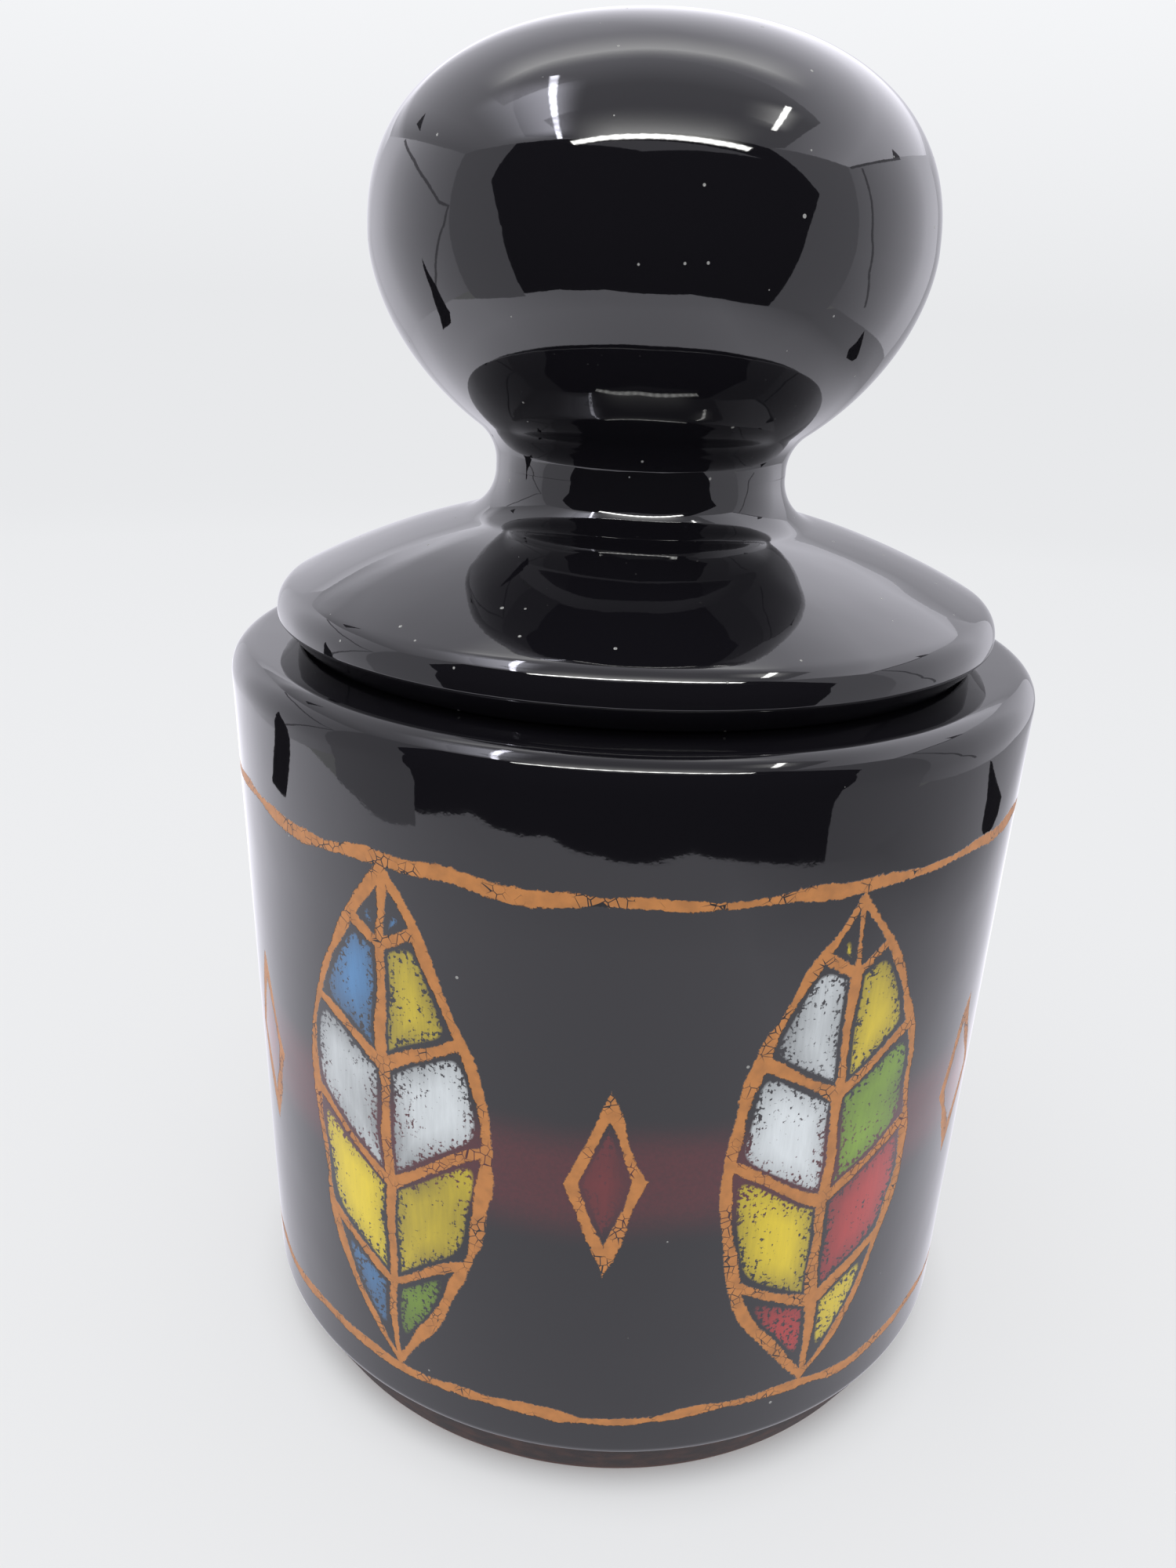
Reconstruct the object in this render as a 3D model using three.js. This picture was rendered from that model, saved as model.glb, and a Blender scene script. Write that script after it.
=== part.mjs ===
// A lidded candy box of black glazed earthenware: a straight round box with a turned-in
// shoulder, and a domed lid that drops into its mouth and is lifted by a large hollow knob.
// Units are millimetres, +Z is up, and the origin is the centre of the foot on the table.
import * as THREE from 'three';

// Box: outside
const BODY_RADIUS = 54.0;      // wall just under the shoulder
const BODY_HEIGHT = 102.0;     // table to the flat top of the shoulder
const WALL_DRAFT = 1.9;        // how much smaller the radius is at the wall's lower edge
const SHOULDER_ROUND = 3.6;    // outer edge of the flat shoulder
const BEVEL_HEIGHT = 8.2;      // under-cut bevel between the wall and the foot
const BEVEL_INSET = 4.3;       // how far that bevel runs in to the foot
const WALL_EDGE_ROUND = 1.6;   // crisp lower edge of the glazed wall

// Box: inside, mouth and foot
const WALL = 5.2;
const FLOOR = 6.5;
const FLOOR_ROUND = 4.0;
const SHOULDER_THICKNESS = 5.6;
const LEDGE = 7.8;             // shoulder turned in past the wall's inner face, which holds the lid
const MOUTH_ROUND = 1.3;
const FOOT_WIDTH = 4.6;
const FOOT_RECESS = 2.0;
const FOOT_ROUND = 0.9;

// Lid
const LID_SETBACK = 6.2;       // lid's edge inside the box's wall
const LIP_UNDERCUT = 2.7;      // lip slopes in under the edge to the seat
const LIP_RISE = 3.1;          // lower edge of the lip above the seat
const LIP_SIDE = 0.7;          // short upright stretch from that edge to the rolled rim
const LIP_EDGE = 0.6;          // rounding of the lip's lower edges
const RIM_ROUND = 3.8;         // rolled rim, tangent to the dome
const DOME_RADIUS = 98.0;
const LID_WALL = 5.0;
const FLANGE_DEPTH = 8.0;
const FLANGE_WALL = 4.2;
const FLANGE_DRAFT = 0.5;
const FLANGE_ROUND = 1.4;
const LID_PLAY = 2.5;          // radial clearance of the flange in the mouth
const SEAT_GAP = 0.3;          // glazed lid on bare seat ring

// Neck and knob
const NECK_RADIUS = 19.1;
const NECK_FLARE = 6.0;        // hollow curve from the neck out to the dome
const NECK_LENGTH = 0.6;       // straight stretch at the narrowest place
const NECK_WALL = 5.0;
const KNOB_RADIUS = 35.0;
const KNOB_CROWN = 24.4;       // widest place up to the top
const KNOB_BELLY = 29.3;       // widest place down to where the ball would close
const KNOB_WALL = 4.8;
const KNOB_FLARE = 5.8;        // hollow curve from the neck out to the ball
const CROWN_POWER = 2.32;      // 2 is an ellipse, more is squarer: the crown is slightly flattened
const BELLY_POWER = 1.83;      // and the belly slightly drawn in
const LUTING_GAP = 0.3;        // slip joint between neck and knob

// Fineness of the round shapes
const SIDES = 56;
const EDGE_STEPS = 3;
const FLARE_STEPS = 5;
const DOME_STEPS = 5;
const RIM_STEPS = 4;
const BALL_STEPS = 10;

const GLAZE = { color: 0x0b0b0d, roughness: 0.07, metalness: 0.0 };

// Sizes that follow from those above
const wallFootRadius = BODY_RADIUS - WALL_DRAFT;
const footRadius = wallFootRadius - BEVEL_INSET;
const mouthRadius = BODY_RADIUS - WALL - LEDGE;
const lidRadius = BODY_RADIUS - LID_SETBACK;
const seatRadius = lidRadius - LIP_UNDERCUT;
const flangeRadius = mouthRadius - LID_PLAY;
const flangeInside = flangeRadius - FLANGE_DRAFT - FLANGE_WALL;
const boreRadius = NECK_RADIUS - NECK_WALL;
const lidSeatHeight = BODY_HEIGHT + SEAT_GAP;

const point = (r, z, round = 0) => ({ r, z, round });

// Points of an arc about a centre, angles in radians, both ends included.
function arc(centreR, centreZ, radius, from, to, steps) {
  const points = [];
  for (let i = 0; i <= steps; i += 1) {
    const angle = from + (to - from) * i / steps;
    points.push(point(centreR + radius * Math.cos(angle), centreZ + radius * Math.sin(angle)));
  }
  return points;
}

// Replaces one corner of an outline by an arc of the corner's own radius.
function roundCorner(before, corner, after) {
  const here = new THREE.Vector2(corner.r, corner.z);
  const back = new THREE.Vector2(before.r, before.z).sub(here).normalize();
  const ahead = new THREE.Vector2(after.r, after.z).sub(here).normalize();
  const halfAngle = Math.acos(THREE.MathUtils.clamp(back.dot(ahead), -1, 1)) / 2;
  const middle = back.clone().add(ahead).normalize();
  const centre = here.clone().addScaledVector(middle, corner.round / Math.sin(halfAngle));
  const reach = corner.round / Math.tan(halfAngle);
  const start = here.clone().addScaledVector(back, reach).sub(centre).angle();
  const end = here.clone().addScaledVector(ahead, reach).sub(centre).angle();
  const turn = Math.atan2(Math.sin(end - start), Math.cos(end - start));
  return arc(centre.x, centre.y, corner.round, start, start + turn, EDGE_STEPS);
}

// An outline with each corner that has a radius rounded off.
function roundCorners(outline) {
  const count = outline.length;
  return outline.flatMap((corner, i) => {
    if (corner.round === 0) return [corner];
    return roundCorner(outline[(i + count - 1) % count], corner, outline[(i + 1) % count]);
  });
}

// Twice the signed area tells which way round an outline runs.
function runsAnticlockwise(outline) {
  let sum = 0;
  outline.forEach((a, i) => {
    const b = outline[(i + 1) % outline.length];
    sum += a.r * b.z - b.r * a.z;
  });
  return sum > 0;
}

// A solid of revolution about Z. The outline either ends on the axis or closes on itself.
function revolve(outline) {
  const ordered = runsAnticlockwise(outline) ? outline : [...outline].reverse();
  const closes = !ordered.some((p) => p.r === 0);
  const loop = closes ? [...ordered, ordered[0]] : ordered;
  const geometry = new THREE.LatheGeometry(loop.map((p) => new THREE.Vector2(p.r, p.z)), SIDES);
  geometry.rotateX(Math.PI / 2);
  return geometry;
}

// Box: one wall, turned in at the top to a flat shoulder, on a low ring foot.
function boxOutline() {
  const floorTop = FOOT_RECESS + FLOOR;
  const footInside = footRadius - FOOT_WIDTH;
  const shoulderUnder = BODY_HEIGHT - SHOULDER_THICKNESS;
  return roundCorners([
    point(0, FOOT_RECESS),
    point(footInside, FOOT_RECESS, FOOT_ROUND),
    point(footInside, 0, FOOT_ROUND),
    point(footRadius, 0, FOOT_ROUND),
    point(wallFootRadius, BEVEL_HEIGHT, WALL_EDGE_ROUND),
    point(BODY_RADIUS, BODY_HEIGHT, SHOULDER_ROUND),
    point(mouthRadius, BODY_HEIGHT, MOUTH_ROUND),
    point(mouthRadius, shoulderUnder, MOUTH_ROUND),
    point(BODY_RADIUS - WALL, shoulderUnder, FLOOR_ROUND),
    point(wallFootRadius - WALL, floorTop, FLOOR_ROUND),
    point(0, floorTop),
  ]);
}

// Lid: the dome is a cap of a sphere centred on the axis. It touches the rim's arc from outside
// the rim's centre and the flare's arc from the other side, so all three run into each other.
const rimCentreR = lidRadius - RIM_ROUND;
const rimCentreZ = LIP_RISE + LIP_SIDE;
const domeCentre = rimCentreZ - Math.sqrt((DOME_RADIUS - RIM_ROUND) ** 2 - rimCentreR ** 2);
const flareCentreR = NECK_RADIUS + NECK_FLARE;
const flareCentreZ = domeCentre + Math.sqrt((DOME_RADIUS + NECK_FLARE) ** 2 - flareCentreR ** 2);
const neckTop = flareCentreZ + NECK_LENGTH / 2;

// An arc of the dome or, with a smaller radius, of the ceiling under it, from one radius to another.
function domeArc(radius, fromR, toR) {
  const from = Math.acos(fromR / radius);
  const to = Math.acos(toR / radius);
  return arc(0, domeCentre, radius, from, to, DOME_STEPS);
}

function lidOutline() {
  const tangent = Math.atan2(domeCentre - flareCentreZ, -flareCentreR);
  const flare = arc(flareCentreR, flareCentreZ, NECK_FLARE, -Math.PI, tangent, FLARE_STEPS);
  const flareFootR = flare.at(-1).r;
  const ceilingRadius = DOME_RADIUS - LID_WALL;
  const ceilingTurn = LID_WALL / 2;
  const rimTop = Math.atan2(rimCentreZ - domeCentre, rimCentreR);
  const dome = domeArc(DOME_RADIUS, flareFootR, DOME_RADIUS * Math.cos(rimTop));
  const rim = arc(rimCentreR, rimCentreZ, RIM_ROUND, rimTop, 0, RIM_STEPS);
  const ceiling = domeArc(ceilingRadius, flangeInside, boreRadius);
  ceiling[0].round = ceilingTurn;
  ceiling.at(-1).round = ceilingTurn / 2;
  return roundCorners([
    point(boreRadius, neckTop),
    point(NECK_RADIUS, neckTop),
    ...flare,
    ...dome.slice(1),
    ...rim.slice(1),
    point(lidRadius, LIP_RISE, LIP_EDGE),
    point(seatRadius, 0, LIP_EDGE),
    point(flangeRadius, 0, LIP_EDGE),
    point(flangeRadius - FLANGE_DRAFT, -FLANGE_DEPTH, FLANGE_ROUND),
    point(flangeInside, -FLANGE_DEPTH, FLANGE_ROUND),
    ...ceiling,
  ]);
}

// Knob: a slightly flattened ball. Its crown and belly are quarters of superellipses.
function quarter(radius, height, power, from, to) {
  const points = [];
  for (let i = 0; i <= BALL_STEPS; i += 1) {
    const angle = from + (to - from) * i / BALL_STEPS;
    points.push(ballPoint(radius, height, power, angle));
  }
  return points;
}

// One point of such a quarter: angle 0 is on the axis, a right angle is the widest place.
function ballPoint(radius, height, power, angle) {
  const r = radius * Math.max(Math.sin(angle), 0) ** (2 / power);
  return point(r, height * Math.max(Math.cos(angle), 0) ** (2 / power));
}

// Where the flare's arc leaves the belly: the belly's angle at which an arc that is tangent
// there is also tangent to the neck.
function bellyTangent() {
  let low = 0.05;
  let high = Math.PI / 2;
  for (let i = 0; i < 50; i += 1) {
    const middle = (low + high) / 2;
    if (flareCentreFrom(middle).r > NECK_RADIUS + KNOB_FLARE) high = middle;
    else low = middle;
  }
  return (low + high) / 2;
}

// Centre of an arc of the flare's radius that touches the belly from outside at an angle.
function flareCentreFrom(angle) {
  const step = 1e-4;
  const here = ballPoint(KNOB_RADIUS, -KNOB_BELLY, BELLY_POWER, angle);
  const next = ballPoint(KNOB_RADIUS, -KNOB_BELLY, BELLY_POWER, angle + step);
  const tangent = new THREE.Vector2(next.r - here.r, next.z - here.z).normalize();
  return point(here.r + KNOB_FLARE * tangent.y, here.z - KNOB_FLARE * tangent.x);
}

const bellyAngle = bellyTangent();
const knobFlareCentre = flareCentreFrom(bellyAngle);
const ballCentre = NECK_LENGTH / 2 - knobFlareCentre.z;

function knobOutline() {
  const raise = (points) => points.map((p) => point(p.r, p.z + ballCentre));
  const crown = quarter(KNOB_RADIUS, KNOB_CROWN, CROWN_POWER, 0, Math.PI / 2);
  const belly = quarter(KNOB_RADIUS, -KNOB_BELLY, BELLY_POWER, Math.PI / 2, bellyAngle);
  const touch = belly.at(-1);
  const flareStart = Math.atan2(touch.z - knobFlareCentre.z, touch.r - knobFlareCentre.r);
  const flareCentreHeight = ballCentre + knobFlareCentre.z;
  const flare = arc(knobFlareCentre.r, flareCentreHeight, KNOB_FLARE, flareStart, Math.PI, FLARE_STEPS);
  const hollowRadius = KNOB_RADIUS - KNOB_WALL;
  const hollowBelly = KNOB_BELLY - KNOB_WALL;
  const boreAngle = Math.asin((boreRadius / hollowRadius) ** (BELLY_POWER / 2));
  const hollowLower = quarter(hollowRadius, -hollowBelly, BELLY_POWER, boreAngle, Math.PI / 2);
  const hollowUpper = quarter(hollowRadius, KNOB_CROWN - KNOB_WALL, CROWN_POWER, Math.PI / 2, 0);
  return [
    ...raise(crown),
    ...raise(belly).slice(1),
    ...flare.slice(1),
    point(NECK_RADIUS, 0),
    point(boreRadius, 0),
    ...raise(hollowLower),
    ...raise(hollowUpper).slice(1),
  ];
}

// One fired piece or luted part of the assembly, as a mesh at its own height.
function piece(name, outline, height) {
  const mesh = new THREE.Mesh(revolve(outline), new THREE.MeshStandardMaterial(GLAZE));
  mesh.name = name;
  mesh.position.z = height;
  return mesh;
}

const group = new THREE.Group();
const lid = new THREE.Group();
lid.position.z = lidSeatHeight;
lid.add(piece('lid', lidOutline(), 0));
lid.add(piece('knob', knobOutline(), neckTop + LUTING_GAP));
group.add(piece('box_body', boxOutline(), 0));
group.add(lid);

export default group;
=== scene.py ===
"""A lidded candy box in black glazed earthenware, with a ball knob and a painted leaf frieze."""

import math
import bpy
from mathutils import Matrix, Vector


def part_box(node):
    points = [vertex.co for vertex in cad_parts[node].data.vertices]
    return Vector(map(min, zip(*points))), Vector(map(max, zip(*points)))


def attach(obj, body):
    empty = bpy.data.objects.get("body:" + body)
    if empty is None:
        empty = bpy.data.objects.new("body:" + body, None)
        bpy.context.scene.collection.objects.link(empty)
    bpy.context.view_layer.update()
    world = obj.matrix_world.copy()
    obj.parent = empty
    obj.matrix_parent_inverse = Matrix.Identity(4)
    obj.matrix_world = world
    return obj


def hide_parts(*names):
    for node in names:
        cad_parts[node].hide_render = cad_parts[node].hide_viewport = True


bl_info = {
    "name": "Glazed Candy Box",
    "version": (1, 0, 0),
    "blender": (4, 5, 0),
    "location": "View3D > Sidebar > Candy Box",
    "description": "Turns a candy box, its lid and its knob, glazes them and sets them in a light tent",
    "category": "Add Mesh",
}

from collections import namedtuple
from types import SimpleNamespace

import bmesh
import bpy
from bpy.props import FloatProperty, FloatVectorProperty, IntProperty, PointerProperty
from mathutils import Matrix, Vector

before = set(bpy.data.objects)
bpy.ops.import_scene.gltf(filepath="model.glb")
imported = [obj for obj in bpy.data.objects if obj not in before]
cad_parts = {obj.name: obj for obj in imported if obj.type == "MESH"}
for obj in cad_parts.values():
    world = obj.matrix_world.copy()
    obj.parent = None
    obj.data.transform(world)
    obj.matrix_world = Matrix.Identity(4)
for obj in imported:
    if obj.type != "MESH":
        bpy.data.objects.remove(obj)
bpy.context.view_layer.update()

MM = 0.001
IMAGE_HEIGHT = 2000      # pixels of the photograph's long side
SENSOR = 36.0            # millimetres of the long side

# Light tent, in millimetres from the box's foot
TENT_SIDE = 300.0
TENT_BACK = 420.0
TENT_TOP = 300.0
TENT_FOLD = -60.0        # where the side walls fold in to the front flaps
FLOOR_CLOTH = 0.2        # just over the table top
SLIT_SIDE = 240.0        # zip slit on the left; the one on the right is in the floor
LAMP_HEIGHT = 298.0
LAMP_PITCH = 16.0
CLOTH_TINT = (0.97, 0.96, 1.05, 1.0)
ROOM_GLOW = 0.02         # the dark room in front of the tent, which also shows in the slits

# Directions in which a cloth of the tent grows brighter or dimmer
ALONG_X, ALONG_Y, ALONG_Z = (1.0, 0.0, 0.0), (0.0, 1.0, 0.0), (0.0, 0.0, 1.0)
TO_BACK_RIGHT, TO_BACK_LEFT = (0.8, 0.6, 0.0), (-0.6, 0.8, 0.0)
FROM_ORIGIN = "from origin"

# Table top: two distances from the axis in millimetres, and for the shade that the box throws on it
# the share of the paper's own glow at both
FLOOR_RADIUS = 3000.0
FOOT_SHADE = (48.0, 57.0, 0.18, 0.75)
FLOOR_FADE = (200.0, 900.0)

# Soft lamp, in metres
SOFT_LAMP_PLACE = (-0.12, -0.25, 0.75)
SOFT_LAMP_AIM = (0.0, 0.0, 0.05)
SOFT_LAMP_SIZE = (0.6, 0.4)

Corner = namedtuple("Corner", "r z round", defaults=[0.0])


def length(name, about, millimetres):
    """A size property, given in millimetres and kept in metres"""
    return FloatProperty(name=name, description=about, default=millimetres * MM, unit="LENGTH", precision=4)


def linear(code):
    """Linear RGB of an sRGB hex colour such as 'E6D21A'"""
    values = [int(code[i:i + 2], 16) / 255 for i in (0, 2, 4)]
    return tuple(v / 12.92 if v <= 0.04045 else ((v + 0.055) / 1.055) ** 2.4 for v in values)


def colour(name, about, code):
    """A colour property, given as an sRGB hex colour"""
    return FloatVectorProperty(name=name, description=about, default=linear(code), subtype="COLOR",
                               min=0.0, max=1.0)


class BoxSizes(bpy.types.PropertyGroup):
    """Sizes of the box under the lid"""
    radius: length("Wall radius", "Outside, just under the shoulder", 54.0)
    height: FloatProperty(name="Height", description="Table to the top of the shoulder",
                          default=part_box("box_body")[1].z, unit="LENGTH", precision=4)
    draft: length("Draft", "How much smaller the radius is at the wall's lower edge", 1.9)
    shoulder_round: length("Shoulder round", "Outer edge of the flat shoulder", 3.6)
    bevel_height: length("Bevel height", "Undercut bevel between wall and foot", 8.2)
    bevel_inset: length("Bevel inset", "How far the bevel runs in to the foot", 4.3)
    wall_edge_round: length("Wall edge", "Lower edge of the glazed wall", 1.6)
    wall: length("Wall", "Thickness of the wall", 5.2)
    floor: length("Floor", "Thickness of the floor", 6.5)
    floor_round: length("Floor round", "Inside corners", 4.0)
    shoulder_thickness: length("Shoulder thickness", "Flat shoulder round the mouth", 5.6)
    ledge: length("Ledge", "Shoulder turned in past the wall's inner face", 7.8)
    mouth_round: length("Mouth round", "Edges of the mouth", 1.3)
    foot_width: length("Foot width", "Unglazed ring that the box stands on", 4.6)
    foot_recess: length("Foot recess", "Depth of the hollow inside the foot ring", 2.0)
    foot_round: length("Foot round", "Edges of the foot ring", 0.9)


class LidSizes(bpy.types.PropertyGroup):
    """Sizes of the domed lid"""
    setback: length("Setback", "Lid's edge inside the box's wall", 6.2)
    undercut: length("Undercut", "How far the lip slopes in under its edge", 2.7)
    rise: length("Rise", "Lower edge of the lip above the seat", 3.1)
    side: length("Side", "Short upright stretch from that edge to the rolled rim", 0.7)
    lip_edge: length("Lip edge", "Rounding of the lip's lower edges", 0.6)
    rim_round: length("Rim round", "Rolled rim, tangent to the dome", 3.8)
    dome_radius: length("Dome radius", "Sphere that the dome is a cap of", 98.0)
    wall: length("Wall", "Thickness of the dome", 5.0)
    flange_depth: length("Flange depth", "Ring that reaches down into the mouth", 8.0)
    flange_wall: length("Flange wall", "Thickness of that ring", 4.2)
    flange_draft: length("Flange draft", "Taper of that ring", 0.5)
    flange_round: length("Flange round", "Lower edges of that ring", 1.4)
    play: length("Play", "Radial clearance of the flange in the mouth", 2.5)
    seat_gap: length("Seat gap", "Lid over the shoulder", 0.3)


class KnobSizes(bpy.types.PropertyGroup):
    """Sizes of the neck and the ball knob"""
    neck_radius: length("Neck radius", "Narrowest place of the waist", 19.1)
    neck_flare: length("Neck flare", "Hollow curve from the neck out to the dome", 6.0)
    neck_length: length("Neck length", "Straight stretch at the narrowest place", 0.6)
    neck_wall: length("Neck wall", "Thickness of the neck", 5.0)
    radius: length("Ball radius", "Widest place of the ball", 35.0)
    crown: length("Crown", "Widest place up to the top", 24.4)
    belly: length("Belly", "Widest place down to where the ball would close", 29.3)
    wall: length("Wall", "Thickness of the ball", 4.8)
    flare: length("Knob flare", "Hollow curve from the neck out to the ball", 5.8)
    luting_gap: length("Luting gap", "Slip joint between neck and knob, closed by the glaze", 0.3)
    crown_power: FloatProperty(name="Crown power", description="2 is an ellipse, more is squarer",
                               default=2.32)
    belly_power: FloatProperty(name="Belly power", description="2 is an ellipse, less is drawn in",
                               default=1.83)


class Fineness(bpy.types.PropertyGroup):
    """How finely the round shapes are divided"""
    sides: IntProperty(name="Sides", description="Steps round the axis", default=288)
    corner_steps: IntProperty(name="Corner steps", description="Steps in a rounded corner", default=8)
    curve_steps: IntProperty(name="Curve steps", description="Steps in a quarter of the ball", default=48)
    spacing: length("Spacing", "Longest edge along an outline", 1.3)


class GlazeLook(bpy.types.PropertyGroup):
    """Colours and surface of the glazes"""
    black: colour("Black glaze", "Gloss black cover glaze", "121115")
    clay: colour("Clay", "Bare fired earthenware of the foot", "5F3A2C")
    stain: colour("Stain", "Clay darkened by the wiped-off glaze", "221815")
    line: colour("Line", "Matt terracotta of the drawn lines", "C07C3A")
    maroon: colour("Maroon", "Sprayed soft colour under the gloss", "50161D")
    # Grey specks: partly dust, partly painted glints of light on the glaze
    dust: colour("Dust", "Fine specks on the glaze", "8F8F8C")
    roughness: FloatProperty(name="Gloss roughness", description="Roughness of the fired gloss",
                             default=0.03, min=0.0, max=1.0)
    index: FloatProperty(name="Black glaze IOR", description="Rich in lead and iron, so it mirrors strongly",
                         default=1.7, min=1.0, max=3.0)
    clear_index: FloatProperty(name="Clear glaze IOR", description="Transparent glaze over the painted wall",
                               default=1.55, min=1.0, max=3.0)
    wall_waves: length("Wall waves", "Height of the slow waves on the box", 0.06)
    lid_waves: length("Lid waves", "Height of the slow waves on the lid", 0.13)
    knob_waves: length("Knob waves", "Height of the slow waves on the knob", 0.05)
    wave_length: length("Wave length", "Size of those waves", 11.0)


class FriezeLook(bpy.types.PropertyGroup):
    """Sizes of the painted leaf frieze"""
    leaves: IntProperty(name="Leaves", description="Leaves round the wall", default=6)
    turn: FloatProperty(name="Turn", description="Share of a leaf's pitch that the frieze is turned by",
                        default=0.5)
    middle: length("Middle", "Height of the frieze's middle line over the table", 50.0)
    leaf_width: length("Leaf width", "Widest place of a leaf", 27.0)
    leaf_height: length("Leaf height", "A leaf from tip to tip", 70.0)
    vein_pitch: length("Vein pitch", "Veins of a leaf, measured up its middle", 16.0)
    lozenge_width: length("Lozenge width", "Small lozenge between two leaves", 9.0)
    lozenge_height: length("Lozenge height", "The same, upright", 22.0)
    line_width: length("Line width", "Trailed line", 1.45)
    belt: length("Belt", "Height of the soft maroon belt behind the leaves", 19.0)


class StageLook(bpy.types.PropertyGroup):
    """Camera, floor and light"""
    focal: FloatProperty(name="Focal length", description="In pixels of the 1500 x 2000 frame",
                         default=1592.7)
    distance: length("Camera distance", "From the box's axis", 169.98)
    height: length("Camera height", "Over the table", 144.14)
    pitch: FloatProperty(name="Pitch", description="Downwards", default=math.radians(21.035),
                         subtype="ANGLE")
    yaw: FloatProperty(name="Yaw", description="To the right", default=math.radians(-1.804),
                       subtype="ANGLE")
    roll: FloatProperty(name="Roll", description="Clockwise", default=math.radians(2.197),
                        subtype="ANGLE")
    pale: colour("Pale ground", "Floor and background", "E8E9EB")
    sky: FloatProperty(name="Ambient", description="Strength of the even light all round", default=1.0)
    lamp_energy: FloatProperty(name="Lamp energy", description="Watts of the large soft lamp", default=1.4)


class CandyBox(bpy.types.PropertyGroup):
    """Everything that can be changed"""
    body: PointerProperty(type=BoxSizes)
    lid: PointerProperty(type=LidSizes)
    knob: PointerProperty(type=KnobSizes)
    fineness: PointerProperty(type=Fineness)
    glaze: PointerProperty(type=GlazeLook)
    frieze: PointerProperty(type=FriezeLook)
    stage: PointerProperty(type=StageLook)


def arc(centre_r, centre_z, radius, start, end, steps):
    """Points of an arc about a centre, both ends included"""
    angles = [start + (end - start) * i / steps for i in range(steps + 1)]
    return [Corner(centre_r + radius * math.cos(a), centre_z + radius * math.sin(a)) for a in angles]


def measures(box):
    """Sizes that follow from the chosen ones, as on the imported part"""
    body, lid, knob = box.body, box.lid, box.knob
    m = SimpleNamespace()
    m.wall_foot = body.radius - body.draft
    m.foot = m.wall_foot - body.bevel_inset
    m.mouth = body.radius - body.wall - body.ledge
    m.lid = body.radius - lid.setback
    m.seat = m.lid - lid.undercut
    m.flange = m.mouth - lid.play
    m.flange_inside = m.flange - lid.flange_draft - lid.flange_wall
    m.bore = knob.neck_radius - knob.neck_wall
    m.seat_height = body.height + lid.seat_gap
    m.rim_r = m.lid - lid.rim_round
    m.rim_z = m.seat_height + lid.rise + lid.side
    m.dome_centre = m.rim_z - math.sqrt((lid.dome_radius - lid.rim_round) ** 2 - m.rim_r ** 2)
    m.flare_r = knob.neck_radius + knob.neck_flare
    reach = lid.dome_radius + knob.neck_flare
    m.flare_z = m.dome_centre + math.sqrt(reach ** 2 - m.flare_r ** 2)
    m.joint = m.flare_z + (knob.neck_length + knob.luting_gap) / 2
    return m


def body_outline(box):
    """Half section of the box: foot ring, bevel, wall, flat shoulder, mouth and inside"""
    body = box.body
    m = measures(box)
    floor_top = body.foot_recess + body.floor
    shoulder_under = body.height - body.shoulder_thickness
    return [
        Corner(0.0, body.foot_recess),
        Corner(m.foot - body.foot_width, body.foot_recess, body.foot_round),
        Corner(m.foot - body.foot_width, 0.0, body.foot_round),
        Corner(m.foot, 0.0, body.foot_round),
        Corner(m.wall_foot, body.bevel_height, body.wall_edge_round),
        Corner(body.radius, body.height, body.shoulder_round),
        Corner(m.mouth, body.height, body.mouth_round),
        Corner(m.mouth, shoulder_under, body.mouth_round),
        Corner(body.radius - body.wall, shoulder_under, body.floor_round),
        Corner(m.wall_foot - body.wall, floor_top, body.floor_round),
        Corner(0.0, floor_top),
    ]


def lid_outline(box):
    """Half section of the lid: neck, flare, dome, rolled rim, lip, seat, flange and ceiling"""
    lid, knob = box.lid, box.knob
    m = measures(box)
    steps = box.fineness.curve_steps

    def dome_arc(radius, from_r, to_r):
        start = math.acos(from_r / radius)
        return arc(0.0, m.dome_centre, radius, start, math.acos(to_r / radius), steps)

    tangent = math.atan2(m.dome_centre - m.flare_z, -m.flare_r)
    flare = arc(m.flare_r, m.flare_z, knob.neck_flare, -math.pi, tangent, steps // 2)
    rim_top = math.atan2(m.rim_z - m.dome_centre, m.rim_r)
    dome = dome_arc(lid.dome_radius, flare[-1].r, lid.dome_radius * math.cos(rim_top))
    rim = arc(m.rim_r, m.rim_z, lid.rim_round, rim_top, 0.0, steps // 4)
    ceiling = dome_arc(lid.dome_radius - lid.wall, m.flange_inside, m.bore)
    seat_z = m.seat_height
    flange_z = seat_z - lid.flange_depth
    return [
        Corner(m.bore, m.joint),
        Corner(knob.neck_radius, m.joint),
        *flare,
        *dome[1:],
        *rim[1:],
        Corner(m.lid, seat_z + lid.rise, lid.lip_edge),
        Corner(m.seat, seat_z, lid.lip_edge),
        Corner(m.flange, seat_z, lid.lip_edge),
        Corner(m.flange - lid.flange_draft, flange_z, lid.flange_round),
        Corner(m.flange_inside, flange_z, lid.flange_round),
        *ceiling,
    ]


def ball_point(radius, height, power, angle):
    """A superellipse's point: angle 0 is on the axis, a right angle is the widest place"""
    r = radius * max(math.sin(angle), 0.0) ** (2 / power)
    return Corner(r, height * max(math.cos(angle), 0.0) ** (2 / power))


def flare_centre(knob, angle):
    """Centre of an arc of the flare's radius that touches the belly from outside at an angle"""
    step = 1e-4
    here = ball_point(knob.radius, -knob.belly, knob.belly_power, angle)
    ahead = ball_point(knob.radius, -knob.belly, knob.belly_power, angle + step)
    tangent = Vector((ahead.r - here.r, ahead.z - here.z)).normalized()
    return Corner(here.r + knob.flare * tangent.y, here.z - knob.flare * tangent.x)


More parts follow.
